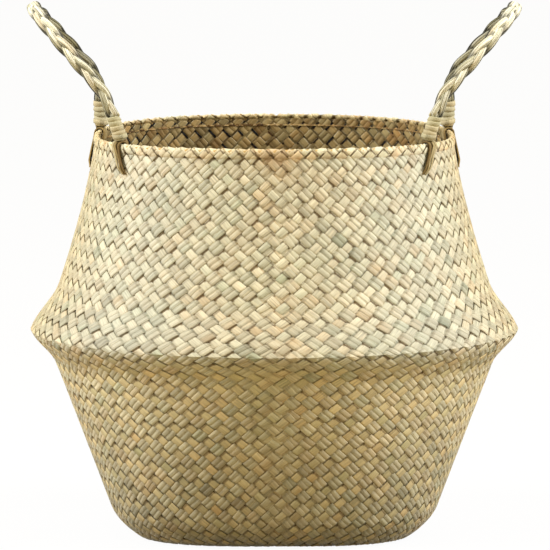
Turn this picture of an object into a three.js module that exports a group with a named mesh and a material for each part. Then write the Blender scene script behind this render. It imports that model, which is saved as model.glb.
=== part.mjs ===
// A belly basket plaited from flat seagrass strips, with two braided handles.
// Millimetres, +Z up. The origin is the middle of the base on the floor. The handles are at +X and -X.
import * as THREE from "three";

// The body's outline, outside
const baseRadius = 113.4; // where the lower wall's straight slope would meet the floor
const bellyRadius = 171.5; // where the slopes of the two walls would meet, without the fold's lip
const rimRadius = 132.7; // half the mouth's width, outside
const foldHeight = 149; // the belly's fold
const rimHeight = 296; // the top of the hem at the front
const lipReach = 9.2; // how far the fold stands out past both walls
const lipBelow = 24; // the lip's spread down the lower wall
const lipAbove = 34; // the lip's spread up the upper wall
const upperHollow = 1.4; // power of the upper wall's curve, 1 is a straight cone
const edgeInset = 8.8; // how far the rounded bottom edge draws in at the floor
const edgeHeight = 13; // how high that rounding goes
const baseSquareness = 3.1; // superellipse power of the plan at the floor, 2 is a circle
const rimSquareness = 2.2; // the same at the rim; the fold is round
const rimDip = 2.5; // how far the handles press the rim down
const dipSharpness = 4; // power of the dip's cosine round the rim

// The plait
const wallThickness = 3;
const basePlate = 3;
const bandShare = 0.5; // share of the upper half that turns inside out when the top is pushed down
const hemHeight = 8;
const hemProud = 0.6; // the folded strips stand out this far on each face
const hemChamfer = 1;
const seam = 0.3; // gap between pieces that touch

// The handles
const handleTurn = 9.8; // degrees from the X axis towards the front
const rootSpacing = 105; // between the two roots of one handle, about
const handleRise = 107; // length of the lean line from the roots to the top of the grip
const frontLean = 19.3; // degrees outwards from upright at the front root
const backLean = 2; // the same at the back root
const tipLean = 41; // the same at the top
const leanLength = 30; // the lean changes over this length
const gripWidth = 9.7; // braid, across the arch's plane
const gripThickness = 9.4; // braid, in the arch's plane
const neckWidth = 8.8; // braid where it leaves the whipping
const neckThickness = 8.4;
const neckLength = 30; // the braid reaches its full size over this length
const archPower = 2.7; // superellipse power of the arch

// The whipping on each handle end
const whipRadius = 4.2; // outside
const whipTurns = 3;
const whipPitch = 3;
const stripWidth = 2.2;
const stripThickness = 1.2;
const stripTurnIn = 1.2; // radius on which the strip turns to run along the handle at its ends

// The strands that hold each handle end
const anchorCount = 3;
const anchorWidth = 3.2;
const anchorTipWidth = 1.6;
const anchorThickness = 0.9;
const anchorPitch = 3.6; // side by side on the hem
const anchorFrontDrop = 20; // down the outside, from the top of the hem
const anchorBackDrop = 25;
const anchorInside = 7; // down the inside
const anchorClose = 0.45; // share of the pitch that is lost towards the tips
const anchorFrontDrift = -12; // from the root to the tips, along the rim towards the back
const anchorBackDrift = -20; // the strands slant forwards, as the strips of the plait do
const ballClearance = 0.4; // under the round handle end

// Mesh fineness
const wallSegments = 48;
const hemSegments = 64;
const turnSteps = 24;
const archSteps = 26;
const gripSides = 10;

const degrees = Math.PI / 180;
const foldSplit = foldHeight + bandShare * (rimHeight - foldHeight);
const hemFacetSag = rimRadius * (1 - Math.cos(Math.PI / hemSegments));
const bell = (distance, reach) =>
  distance < reach ? 0.5 + 0.5 * Math.cos((Math.PI * distance) / reach) : 0;
const ease = (x) => {
  const t = Math.min(Math.max(x, 0), 1);
  return t * t * (3 - 2 * t);
};

// Outside radius on the X and Y axes at a height: a cone below the fold, a hollow curve above it,
// and the fold's lip.
function profileRadius(z) {
  if (z <= foldHeight) {
    const cone = baseRadius + ((bellyRadius - baseRadius) * z) / foldHeight;
    const edge = Math.max(0, 1 - z / edgeHeight);
    return cone - edgeInset * edge * edge + lipReach * bell(foldHeight - z, lipBelow);
  }
  const left = Math.max(0, 1 - (z - foldHeight) / (rimHeight - foldHeight));
  const curve = rimRadius + (bellyRadius - rimRadius) * Math.pow(left, upperHollow);
  return curve + lipReach * bell(z - foldHeight, lipAbove);
}

// The plan is a superellipse: a rounded square at the base, a circle at the fold, nearly a circle at the rim.
function squareness(z) {
  if (z <= foldHeight) return 2 + (baseSquareness - 2) * Math.pow(1 - z / foldHeight, 2);
  return 2 + (rimSquareness - 2) * ((z - foldHeight) / (rimHeight - foldHeight));
}

function outerRadius(angle, z) {
  const p = squareness(z);
  const sum = Math.pow(Math.abs(Math.cos(angle)), p) + Math.pow(Math.abs(Math.sin(angle)), p);
  return profileRadius(z) * Math.pow(sum, -1 / p);
}

// The wall's thickness measured level, which is more where the wall slopes.
function levelThickness(z) {
  const step = 1;
  const slope = (profileRadius(z + step) - profileRadius(z - step)) / (2 * step);
  return wallThickness * Math.sqrt(1 + Math.min(1, slope * slope));
}

// The rim's dip under the handles grows from the fold band's top edge to the rim.
function dipped(angle, z) {
  if (z <= foldSplit) return z;
  const left = Math.max(0, -Math.cos(angle - handleTurn * degrees));
  const right = Math.max(0, Math.cos(angle + handleTurn * degrees));
  const round = Math.pow(left, dipSharpness) + Math.pow(right, dipSharpness);
  const share = (z - foldSplit) / (rimHeight - foldSplit);
  return z - rimDip * round * share * share;
}

const polar = (angle, radius, z) =>
  new THREE.Vector3(radius * Math.cos(angle), radius * Math.sin(angle), z);

// A closed body from rings of points, joined one to the next. The rings either come round to the first
// one again, or the two ends are closed with flat fans.
function skin(rings, comesRound) {
  const sides = rings[0].length;
  const positions = [];
  const index = [];
  for (const ring of rings) for (const p of ring) positions.push(p.x, p.y, p.z);
  const last = comesRound ? rings.length : rings.length - 1;
  for (let i = 0; i < last; i++) {
    const here = i * sides;
    const next = ((i + 1) % rings.length) * sides;
    for (let j = 0; j < sides; j++) {
      const k = (j + 1) % sides;
      index.push(here + j, next + j, next + k, here + j, next + k, here + k);
    }
  }
  if (!comesRound) {
    const end = (rings.length - 1) * sides;
    for (let j = 1; j < sides - 1; j++) {
      index.push(0, j, j + 1);
      index.push(end, end + j + 1, end + j);
    }
  }
  // The signed volume tells whether the faces point in, and then every face is turned.
  let volume = 0;
  const corner = (n) => new THREE.Vector3().fromArray(positions, 3 * index[n]);
  for (let n = 0; n < index.length; n += 3) {
    volume += corner(n).dot(corner(n + 1).cross(corner(n + 2)));
  }
  if (volume < 0) {
    for (let n = 0; n < index.length; n += 3) {
      [index[n + 1], index[n + 2]] = [index[n + 2], index[n + 1]];
    }
  }
  const geometry = new THREE.BufferGeometry();
  geometry.setAttribute("position", new THREE.Float32BufferAttribute(positions, 3));
  geometry.setIndex(index);
  geometry.computeVertexNormals();
  return geometry;
}

const seagrass = (color, roughness) =>
  new THREE.MeshStandardMaterial({ color, roughness, metalness: 0 });
const plaitMaterial = seagrass(0xcdbb8e, 0.75);
const hemMaterial = seagrass(0xd2c193, 0.7);
const braidMaterial = seagrass(0xb9ab78, 0.65);
const whippingMaterial = seagrass(0xe0d3a6, 0.65);
const strandMaterial = seagrass(0xa08c58, 0.75);

function piece(name, geometry, material) {
  const mesh = new THREE.Mesh(geometry, material);
  mesh.name = name;
  return mesh;
}

// A wall between heights: one profile loop at each angle, up the outside and down the inside.
function wall(heights) {
  const rings = [];
  for (let i = 0; i < wallSegments; i++) {
    const angle = (2 * Math.PI * i) / wallSegments;
    const outside = heights.map((z) => polar(angle, outerRadius(angle, z), dipped(angle, z)));
    const inside = heights.map((z) =>
      polar(angle, outerRadius(angle, z) - levelThickness(z), dipped(angle, z)),
    );
    rings.push([...outside, ...inside.reverse()]);
  }
  return skin(rings, true);
}

// Heights spread evenly between two of them, both ends included.
const heightsBetween = (low, high, steps) =>
  Array.from({ length: steps + 1 }, (_, i) => low + ((high - low) * i) / steps);

function lowerWall() {
  const lipStart = foldHeight - lipBelow;
  return wall([
    ...heightsBetween(basePlate + seam, edgeHeight, 2),
    ...heightsBetween(edgeHeight, lipStart, 2).slice(1),
    ...heightsBetween(lipStart, foldHeight, 5).slice(1),
  ]);
}

function foldBand() {
  const lipEnd = Math.min(foldHeight + lipAbove, foldSplit - 1);
  return wall([
    ...heightsBetween(foldHeight + seam, lipEnd, 6),
    ...heightsBetween(lipEnd, foldSplit, 2).slice(1),
  ]);
}

function upperWall() {
  return wall(heightsBetween(foldSplit + seam, rimHeight - hemHeight, 4));
}

// The base is a flat plate with a slanted edge, under the lower wall.
function base() {
  const ring = (z, inset) =>
    Array.from({ length: wallSegments }, (_, i) => {
      const angle = (2 * Math.PI * i) / wallSegments;
      return polar(angle, outerRadius(angle, z) - inset, z);
    });
  return skin([ring(0, 0), ring(basePlate, 0)], false);
}

// The hem's section at one angle: a little thicker than the wall, with its top corners cut off.
function hemSection(angle) {
  const bottom = rimHeight - hemHeight + seam;
  const shoulder = rimHeight - hemChamfer;
  const out = (z) => outerRadius(angle, z) + hemProud;
  const inn = (z) => outerRadius(angle, z) - levelThickness(z) - hemProud;
  return [
    [out(bottom), bottom],
    [out(shoulder), shoulder],
    [out(rimHeight) - hemChamfer, rimHeight],
    [inn(rimHeight) + hemChamfer, rimHeight],
    [inn(shoulder), shoulder],
    [inn(bottom), bottom],
  ].map(([radius, z]) => polar(angle, radius, dipped(angle, z)));
}

function hem() {
  const rings = [];
  for (let i = 0; i < hemSegments; i++) rings.push(hemSection((2 * Math.PI * i) / hemSegments));
  return skin(rings, true);
}

// The roots stand on the middle line of the hem. End is -1 at the front and 1 at the back.
const rootHalfAngle = Math.asin(rootSpacing / 2 / rimRadius);
const rootAngle = (end) => -handleTurn * degrees + end * rootHalfAngle;
const rootOnRim = (end) =>
  polar(rootAngle(end), outerRadius(rootAngle(end), rimHeight) - wallThickness / 2, 0);
const rootChord = rootOnRim(-1).distanceTo(rootOnRim(1));
const rootMiddle = rootOnRim(-1).add(rootOnRim(1)).multiplyScalar(0.5);

// The handle's own frame: along runs from root to root, out is level and away from the basket.
const up = new THREE.Vector3(0, 0, 1);
const along = rootOnRim(1).sub(rootOnRim(-1)).normalize();
const out = new THREE.Vector3().crossVectors(along, up);
const ballHeight = Math.max(dipped(rootAngle(-1), rimHeight), dipped(rootAngle(1), rimHeight));
const pivotHeight = ballHeight + seam + anchorThickness + ballClearance + whipRadius;

// The whipping's length along the handle: a straight end, a bend, the turns, a bend and a straight end.
const whipEnd = stripWidth + stripTurnIn;
const whipSpan = 2 * (seam + whipEnd) + whipTurns * whipPitch;

// Each leg of the handle leans out at its own angle, and then like the other one higher up.
const rootLean = (end) => (end < 0 ? frontLean : backLean);
function leanAt(end, rise) {
  const share = ease((rise - whipSpan) / leanLength);
  return (rootLean(end) + (tipLean - rootLean(end)) * share) * degrees;
}

// A leg's leaning line is added up in short steps, and then read off by its length.
const leanStep = 0.5;
function makeLeanLine(end) {
  const line = [new THREE.Vector2(0, 0)];
  for (let rise = 0; rise < handleRise; rise += leanStep) {
    const lean = leanAt(end, rise + leanStep / 2);
    const step = new THREE.Vector2(Math.sin(lean), Math.cos(lean)).multiplyScalar(leanStep);
    line.push(line[line.length - 1].clone().add(step));
  }
  return line;
}
const frontLine = makeLeanLine(-1);
const backLine = makeLeanLine(1);
function onLine(line, rise) {
  const place = Math.max(rise, 0) / leanStep;
  const index = Math.min(Math.floor(place), line.length - 2);
  return line[index].clone().lerp(line[index + 1], place - index);
}

// A point of the handle: across runs from root to root, rise along the leaning lines of the two legs,
// which are mixed between the legs.
const backShare = (across) => 0.5 + across / rootChord;
function handlePoint(across, rise) {
  const lean = onLine(frontLine, rise).lerp(onLine(backLine, rise), backShare(across));
  return rootMiddle
    .clone()
    .addScaledVector(up, pivotHeight + lean.y)
    .addScaledVector(out, lean.x)
    .addScaledVector(along, across);
}

// The direction square to the handle's leaning line and to the line between its roots.
function faceAt(across, rise) {
  const front = leanAt(-1, rise);
  const lean = front + (leanAt(1, rise) - front) * backShare(across);
  return out.clone().multiplyScalar(Math.cos(lean)).addScaledVector(up, -Math.sin(lean));
}

// Above the whippings the handle is half a superellipse. The turn goes from 0 at the front to pi.
function archSpot(turn) {
  const sweep = (x) => Math.sign(x) * Math.pow(Math.abs(x), 2 / archPower);
  return {
    across: (-rootChord / 2) * sweep(Math.cos(turn)),
    rise: whipSpan + (handleRise - whipSpan) * sweep(Math.sin(turn)),
  };
}

// An oval ring square to the way ahead: its width lies along face, its thickness in the arch's plane.
function ovalRing(centre, ahead, face, width, thickness) {
  const inPlane = new THREE.Vector3().crossVectors(ahead, face).normalize();
  const wide = new THREE.Vector3().crossVectors(inPlane, ahead).normalize();
  return Array.from({ length: gripSides }, (_, j) => {
    const turn = (2 * Math.PI * j) / gripSides;
    return centre
      .clone()
      .addScaledVector(wide, (Math.cos(turn) * width) / 2)
      .addScaledVector(inPlane, (Math.sin(turn) * thickness) / 2);
  });
}

// The straight line on which a root stands, and the face that goes with it
const rootAxis = (end) =>
  out
    .clone()
    .multiplyScalar(Math.sin(rootLean(end) * degrees))
    .addScaledVector(up, Math.cos(rootLean(end) * degrees));
const rootPoint = (end) => handlePoint((end * rootChord) / 2, 0);
const rootFace = (end) => faceAt((end * rootChord) / 2, 0);
const coreRadius = whipRadius - stripThickness - seam;

// One end of the handle: the round end that turns on the strands, and the core inside the whipping.
function rootRings(end) {
  const ahead = rootAxis(end).multiplyScalar(-end);
  const ring = (height, radius) => {
    const centre = rootPoint(end).addScaledVector(rootAxis(end), height);
    return ovalRing(centre, ahead, rootFace(end), 2 * radius, 2 * radius);
  };
  const ballTilts = [80, 55, 28]; // degrees below the ball's middle
  const ball = ballTilts.map((tilt) =>
    ring(-whipRadius * Math.sin(tilt * degrees), whipRadius * Math.cos(tilt * degrees)),
  );
  return [...ball, ring(0, whipRadius), ring(0, coreRadius), ring(whipSpan, coreRadius)];
}

function handle() {
  const rings = rootRings(-1);
  const small = 0.02;
  for (let i = 0; i <= archSteps; i++) {
    const turn = (Math.PI * i) / archSteps;
    const { across, rise } = archSpot(turn);
    const before = archSpot(Math.max(turn - small, 0));
    const after = archSpot(Math.min(turn + small, Math.PI));
    const ahead = handlePoint(after.across, after.rise).sub(handlePoint(before.across, before.rise));
    if (i === 0) ahead.copy(rootAxis(-1));
    if (i === archSteps) ahead.copy(rootAxis(1)).negate();
    const share = ease((rise - whipSpan) / neckLength);
    const width = neckWidth + (gripWidth - neckWidth) * share;
    const thickness = neckThickness + (gripThickness - neckThickness) * share;
    rings.push(ovalRing(handlePoint(across, rise), ahead, faceAt(across, rise), width, thickness));
  }
  return skin([...rings, ...rootRings(1).reverse()], false);
}

// The whipping's middle line, unrolled from the handle's core: x runs round it and y along it.
// A straight end, a bend, a steady climb, and the same the other way round.
function whippingLine(middleRadius) {
  const bend = 4;
  const roundLength = 2 * Math.PI * middleRadius;
  const climbAngle = Math.atan2(whipPitch, roundLength);
  const sweep = Math.PI / 2 - climbAngle;
  const first = [new THREE.Vector2(0, seam)];
  for (let i = 0; i <= bend; i++) {
    const turn = (sweep * i) / bend;
    first.push(
      new THREE.Vector2(
        stripTurnIn * (1 - Math.cos(turn)),
        seam + stripWidth + stripTurnIn * Math.sin(turn),
      ),
    );
  }
  const low = first[first.length - 1];
  const high = new THREE.Vector2(low.x + whipTurns * roundLength, whipSpan - low.y);
  const climb = [];
  const steps = whipTurns * turnSteps;
  for (let i = 1; i < steps; i++) climb.push(low.clone().lerp(high, i / steps));
  const last = first.map((p) => new THREE.Vector2(low.x + high.x - p.x, whipSpan - p.y));
  return [...first, ...climb, ...last.reverse()];
}

// The rings of a whipping on one handle end. The strip's section is a flat hexagon.
function whippingRings(end) {
  const middleRadius = whipRadius - stripThickness / 2;
  const line = whippingLine(middleRadius);
  const section = [1, 2 / 3, -2 / 3, -1, -2 / 3, 2 / 3].map((share, j) => ({
    wide: (share * stripWidth) / 2,
    thick: ([0, 1, 1, 0, -1, -1][j] * stripThickness) / 2,
  }));
  const face = rootFace(end);
  const axis = rootAxis(end);
  return line.map((spot, i) => {
    const before = line[Math.max(i - 1, 0)];
    const after = line[Math.min(i + 1, line.length - 1)];
    const ahead = after.clone().sub(before).normalize();
    const angle = spot.x / middleRadius;
    const radial = face.clone().multiplyScalar(Math.cos(angle)).addScaledVector(along, Math.sin(angle));
    const round = face.clone().multiplyScalar(-Math.sin(angle)).addScaledVector(along, Math.cos(angle));
    const wide = round.multiplyScalar(-ahead.y).addScaledVector(axis, ahead.x);
    return section.map((corner) =>
      rootPoint(end)
        .addScaledVector(axis, spot.y)
        .addScaledVector(radial, middleRadius + corner.thick)
        .addScaledVector(wide, corner.wide),
    );
  });
}

// The least distance between points of turns that don't follow one another directly.
function leastGap(rings) {
  const apart = turnSteps / 2;
  let least = Infinity;
  for (let i = 0; i < rings.length; i++)
    for (let j = i + apart; j < rings.length; j++)
      for (const p of rings[i]) for (const q of rings[j]) least = Math.min(least, p.distanceTo(q));
  return least;
}

// One strand that holds a handle end: up inside the hem, over it, and down the outside of the wall.
function anchorStrand(end, number) {
  const place = number - (anchorCount - 1) / 2;
  const shoulder = rimHeight - hemChamfer;
  const corner = Math.tan(Math.PI / 8); // how far a cut corner's offset line moves along its neighbour
  const stops = [0.3, 0.65, 1]; // shares of the drop down the outside
  const drop = end < 0 ? anchorFrontDrop : anchorBackDrop;
  // Each spot is a share of the drop, a radius at an angle, and a height.
  const spots = (offset) => {
    const inner = (angle, z) =>
      outerRadius(angle, z) - levelThickness(z) - hemProud - offset - hemFacetSag;
    const outer = (angle, z) => outerRadius(angle, z) + hemProud + offset;
    const innerEdge = hemChamfer - corner * offset;
    return [
      [0, (a) => inner(a, shoulder), rimHeight - anchorInside],
      [0, (a) => inner(a, shoulder), shoulder + corner * offset],
      [0, (a) => inner(a, rimHeight) + offset + hemFacetSag + innerEdge, rimHeight + offset],
      [0, (a) => outer(a, rimHeight) - offset - innerEdge, rimHeight + offset],
      [0, (a) => outer(a, shoulder), shoulder + corner * offset],
      ...stops.map((share) => {
        const z = rimHeight - share * drop;
        const settle = share === 1 ? hemProud : 0;
        return [share, (a) => outer(a, z) - settle, z];
      }),
    ];
  };
  const near = spots(seam);
  const far = spots(seam + anchorThickness);
  const rings = near.map(([share], i) => {
    const drift = (end < 0 ? anchorFrontDrift : anchorBackDrift) * share;
    const shift = place * anchorPitch * (1 - anchorClose * share) + drift;
    const angle = rootAngle(end) + shift / rimRadius;
    const halfWidth = (anchorWidth + (anchorTipWidth - anchorWidth) * share) / 2;
    const round = new THREE.Vector3(-Math.sin(angle), Math.cos(angle), 0);
    const at = (spot, side) =>
      polar(angle, spot[1](angle), dipped(angle, spot[2])).addScaledVector(round, side * halfWidth);
    return [at(near[i], -1), at(near[i], 1), at(far[i], 1), at(far[i], -1)];
  });
  return skin(rings, false);
}

// A handle with its whippings and strands is drawn for the +X side, and mirrored for the other.
function handleGroup(side) {
  const group = new THREE.Group();
  group.add(piece("handle_" + side, handle(), braidMaterial));
  for (const [end, name] of [[-1, "front"], [1, "back"]]) {
    const place = name + "_" + side;
    group.add(piece("whipping_" + place, skin(whippingRings(end), false), whippingMaterial));
    for (let number = 0; number < anchorCount; number++) {
      const strand = anchorStrand(end, number);
      group.add(piece("anchor_" + place + "_" + (number + 1), strand, strandMaterial));
    }
  }
  if (side === "left") group.scale.x = -1;
  return group;
}

console.log("whipping: least gap between its turns " + leastGap(whippingRings(1)).toFixed(2) + " mm");

const basket = new THREE.Group();
basket.add(
  piece("woven_base", base(), plaitMaterial),
  piece("lower_wall", lowerWall(), plaitMaterial),
  piece("fold_band", foldBand(), plaitMaterial),
  piece("upper_wall", upperWall(), plaitMaterial),
  piece("rim_hem", hem(), hemMaterial),
  handleGroup("left"),
  handleGroup("right"),
);
export default basket;
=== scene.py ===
import math

import bpy
import numpy as np
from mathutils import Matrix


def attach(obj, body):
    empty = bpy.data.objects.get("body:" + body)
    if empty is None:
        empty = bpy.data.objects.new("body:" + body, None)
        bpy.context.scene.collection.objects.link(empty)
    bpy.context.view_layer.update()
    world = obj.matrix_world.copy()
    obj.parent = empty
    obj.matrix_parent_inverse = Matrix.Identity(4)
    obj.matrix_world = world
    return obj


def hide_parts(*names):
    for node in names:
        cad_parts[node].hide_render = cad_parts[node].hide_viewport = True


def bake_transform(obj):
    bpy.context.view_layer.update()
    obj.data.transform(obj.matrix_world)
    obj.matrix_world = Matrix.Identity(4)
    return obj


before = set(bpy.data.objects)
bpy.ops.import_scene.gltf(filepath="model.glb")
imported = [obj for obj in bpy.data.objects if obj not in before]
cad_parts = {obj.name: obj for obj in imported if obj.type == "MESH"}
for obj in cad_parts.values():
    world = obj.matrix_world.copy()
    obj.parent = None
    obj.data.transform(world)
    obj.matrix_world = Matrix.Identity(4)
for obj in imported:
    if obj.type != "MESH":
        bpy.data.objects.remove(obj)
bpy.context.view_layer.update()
print("frame loaded:", len(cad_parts), "nodes")

# The basket's shape in metres, the same as the solids' but for the softer bottom edge
basket = {
    "baseRadius": 0.1134,
    "bellyRadius": 0.1715,
    "rimRadius": 0.1327,
    "foldHeight": 0.149,
    "rimHeight": 0.296,
    "lipReach": 0.0092,  # how far the fold stands out of the two walls
    "lipBelow": 0.024,
    "lipAbove": 0.034,
    "upperHollow": 1.4,  # 1 would be a straight upper wall
    "edgeInset": 0.0115,  # how far the bottom edge is drawn in
    "edgeHeight": 0.021,
    "baseSquareness": 3.1,  # powers of the plan's superellipse: 2 is a circle
    "rimSquareness": 2.2,
    "rimDip": 0.0025,  # where a handle pulls on the rim
    "dipSharpness": 4,
    "wallThickness": 0.003,
    "blendShare": 0.5,  # of the upper wall's height, the part that turns inside out
}

# The plait: flat dry leaves laid on the bias, two over and two under
plait = {
    "cellsAround": 76,  # one cell is two leaves of each direction
    "cellHeight": 0.0111,  # up the wall
    "leafHalfThickness": 0.00045,
    "weaveHeight": 0.00064,  # how far a leaf rises and sinks
    "weaveSharpness": 5.0,
    "liftSpread": 0.10,
    "broadSteepness": 3.0,  # how quickly the broad leaves take over beside the middle
    "broadGap": 0.27,  # beside a broad leaf that takes the place of a pair, in leaves
    "gapSpread": 0.06,
    "splitSpread": 0.04,
    "pairLap": 0.05,  # the two leaves of a pair lap by their thin edges
    "pinch": 0.04,  # how much narrower a leaf is where it dives under
    "wander": 0.05,
    "wanderWave": 7.0,  # crossings from one bend of a leaf to the next, or less
    "gapWave": 6.0,
    "liftWave": 5.0,
    "hiddenDepth": 0.9,  # how far down the odd leaf lies there, as a share of the weave's height
    "hiddenThinner": 0.7,
    "rowPlaces": (0, 0.2, 0.34, 1.0, 1.66, 1.8),  # in two crossings, close where a leaf dives
    "rowsPerCrossing": 3,
    "mapShift": 0.37,  # metres from one leaf's place in its fibres to the next one's
    "mostStretches": 256,  # more than any leaf has from the base to the rim
    "startInside": 0.006,  # how far the leaves run in under the base
    "hemOverlap": 0.0035,  # the wall's leaves end inside the hem
}

# The plait's tones: what is added to a leaf's "shade" (lightness), "dryness" (from green to tan)
# and a browner tint for what it is and where it lies, much of it painted light and shade
tones = {
    "slowShade": 0.18,  # along a pair of leaves
    "leafShade": 0.14,  # from leaf to leaf
    "stretchShade": 0.20,  # from one stretch that lies on top to the next
    "slowShadeWave": 24.0,
    "middleDryness": 0.40,
    "slowDryness": 0.12,
    "leafDryness": 0.04,
    "stretchDryness": 0.06,
    "slowDrynessWave": 30.0,
    "mostDryness": 0.95,
    "diveShade": -0.10,  # painted shade where a leaf dives under
    # painted light: the broad leaves, which take the sides, are lighter where the light catches
    # them
    "broadShade": 0.46,
    "footShade": -1.2,  # near the floor, where the light is weak
    "footReach": 0.16,
    "foldShade": -0.5,  # painted shade on the fold's upper side
    "foldPlace": 0.016,
    "foldReach": 0.030,
    "rustyShade": -0.35,  # a rusty patch at the middle of the front, under the rim
    "rustyDryness": 0.36,
    "rustyWidth": 0.14,
    "rustyDrop": 0.045,
    # painted shade: the odd leaf deep in the slit beside a broad one is darker and browner
    "hiddenShade": -0.6,
    "hiddenInside": 1.2,  # so much more so inside the basket
    "hiddenDryness": 0.2,
    "insideShade": -1.45,  # painted shade: the inside is darker and browner, out of the light; undersides are also duller
    "insideSpread": 0.35,
    "mostSpread": 1.5,
    "insideDryness": 0.20,
    "insideShadeTint": 0.75,
    "belowReach": 0.02,
    "belowShadeTint": 0.1,  # painted shade, a browner tint under the fold
    "belowBroadShadeTint": 0.35,
    "quarterLightTint": -0.3,  # painted light: paler, less brown at the four quarters of the top
    "handleSideShade": -0.4,  # painted shade: darker and browner under the handles
    "handleSideShadeTint": 0.3,
    "handleSideStart": 0.02,
    "handleSideReach": 0.04,
    "gapContrast": 2.6,  # most painted slit shadows are none or deep
    "gapShut": 0.7,
    "gapDepth": 0.3,
    "broadGapDepth": 0.8,
    "belowGap": -0.3,
    "insideGap": 0.6,
}

rng = np.random.RandomState(11)


def srgb(code):
    # a hex colour as the linear numbers that shaders use
    parts = [int(code[i : i + 2], 16) / 255 for i in (0, 2, 4)]
    linear = [c / 12.92 if c <= 0.04045 else ((c + 0.055) / 1.055) ** 2.4 for c in parts]
    return (*linear, 1.0)


def addNode(tree, kind, settings=None, links=None):
    # adds a shader node; settings name its properties or input sockets, links say which sockets
    # are joined to another's output, where a node stands for its first one
    node = tree.nodes.new("ShaderNode" + kind)
    for key, value in (settings or {}).items():
        if isinstance(key, int) or key in node.inputs:
            node.inputs[key].default_value = value
        else:
            setattr(node, key, value)
    for key, source in (links or {}).items():
        output = source.outputs[0] if isinstance(source, bpy.types.Node) else source
        tree.links.new(output, node.inputs[key])
    return node


# Dry seagrass leaf: a satin skin over long straight fibres, each leaf its own shade from pale
# green through cream and straw to a rusty tan; lengths are in metres
leafLooks = {
    "plait": {
        "shades": [(0.0, "C4C8AC"), (0.25, "E2DEC4"), (0.5, "ECE2C6"), (0.75, "E3CCA6"),
                   (1.0, "C99B6C")],
        "fibreWidth": 0.0006,
        "fibreLength": 0.016,
        "fibreContrast": 0.38,
        "shadeSpread": 0.30,
        "roughness": 0.52,
        "bumpDepth": 0.00022,
    },
    "hem": {
        "shades": [(0.0, "CECBAC"), (0.3, "F0E8C8"), (0.6, "EEDAB4"), (1.0, "D8AE82")],
        "fibreWidth": 0.00045,
        "fibreLength": 0.012,
        "fibreContrast": 0.30,
        "shadeSpread": 0.30,
        "roughness": 0.52,
        "bumpDepth": 0.0002,
    },
    "braid": {
        "shades": [(0.0, "8A8566"), (0.3, "CDCAB0"), (0.65, "F8F6E6"), (1.0, "DCCFB2")],
        "fibreWidth": 0.0006,
        "fibreLength": 0.03,
        "fibreContrast": 0.45,
        "shadeSpread": 0.55,
        "roughness": 0.5,
        "bumpDepth": 0.0003,
    },
    "whipping": {
        "shades": [(0.0, "C6C29A"), (0.4, "EDE4C0"), (0.7, "E9D8AE"), (1.0, "CFA97B")],
        "fibreWidth": 0.0005,
        "fibreLength": 0.02,
        "fibreContrast": 0.3,
        "shadeSpread": 0.3,
        "roughness": 0.5,
        "bumpDepth": 0.0002,
    },
    "strand": {
        # the darkest stop is the dark leaf under the anchors' strips, a painted shadow
        "shades": [(0.0, "20160A"), (0.35, "7A6238"), (0.6, "B49C68"), (1.0, "E2D6AE")],
        "fibreWidth": 0.0005,
        "fibreLength": 0.02,
        "fibreContrast": 0.4,
        "shadeSpread": 0.25,
        "roughness": 0.6,
        "bumpDepth": 0.0003,
    },
}

# shared by all leaves
leafSkinAndShadows = {
    "gloss": 0.2,  # a dry skin's specular level
    "blotch": (0.003, 0.009),  # across and along the leaf
    "mottle": 0.14,  # how far the blotches shift the dryness
    "paintedTintColour": (-0.04, -0.22, -0.6),  # what the whole painted tint takes off the linear colour: browner in painted shade, paler in painted light
    "chinkTint": (-0.84, -0.89, -0.95),  # and what a chink's painted shadow does, which is dark brown
    "slitDepth": 0.9,
    "slitEnds": {"From Min": 0.27, "From Max": 0.16},  # stretches gone at no shadow and at all
    "cornerEnds": {"From Min": 0.42, "From Max": 0.16},
    "cornerSides": {"From Min": 0.25, "From Max": 0.7},  # from the leaf's middle to one edge
}


def paintedChinkShadows(tree):
    # edgeMap holds the place across the leaf, -1 to 1, and the stretches gone along it, a whole
    # number where it comes out from under another; there lies a painted shadow as deep as the size
    # of
    # "gap", with a painted dark hole at the corner that its sign tells; the colour is multiplied by
    # the result
    w = leafSkinAndShadows
    edgeMap = addNode(tree, "UVMap", {"uv_map": "edgeMap"})
    parts = addNode(tree, "SeparateXYZ", links={0: edgeMap})
    gap = addNode(tree, "Attribute", {"attribute_name": "gap"})
    depth = addNode(tree, "Math", {"operation": "ABSOLUTE"}, {0: gap.outputs["Fac"]})
    gone = addNode(tree, "Math", {"operation": "FRACT"}, {0: parts.outputs[1]})
    sided = addNode(tree, "Math", {"operation": "MULTIPLY"}, {0: parts, 1: gap.outputs["Fac"]})
    smooth = {"interpolation_type": "SMOOTHSTEP"}
    slit = addNode(tree, "Math", {"operation": "MULTIPLY", 1: w["slitDepth"]}, {0: depth})
    edge = addNode(tree, "MapRange", {**smooth, **w["slitEnds"]}, {"Value": gone, "To Max": slit})
    corner = addNode(tree, "MapRange", {**smooth, **w["cornerSides"]}, {"Value": sided})
    nearEnd = addNode(tree, "MapRange", {**smooth, **w["cornerEnds"]},
                      {"Value": gone, "To Max": corner})
    dark = addNode(tree, "Math", {"operation": "MAXIMUM"}, {0: edge, 1: nearEnd})
    tint = {"operation": "MULTIPLY_ADD", 1: w["chinkTint"], 2: (1, 1, 1)}
    return addNode(tree, "VectorMath", tint, {0: dark})


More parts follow.
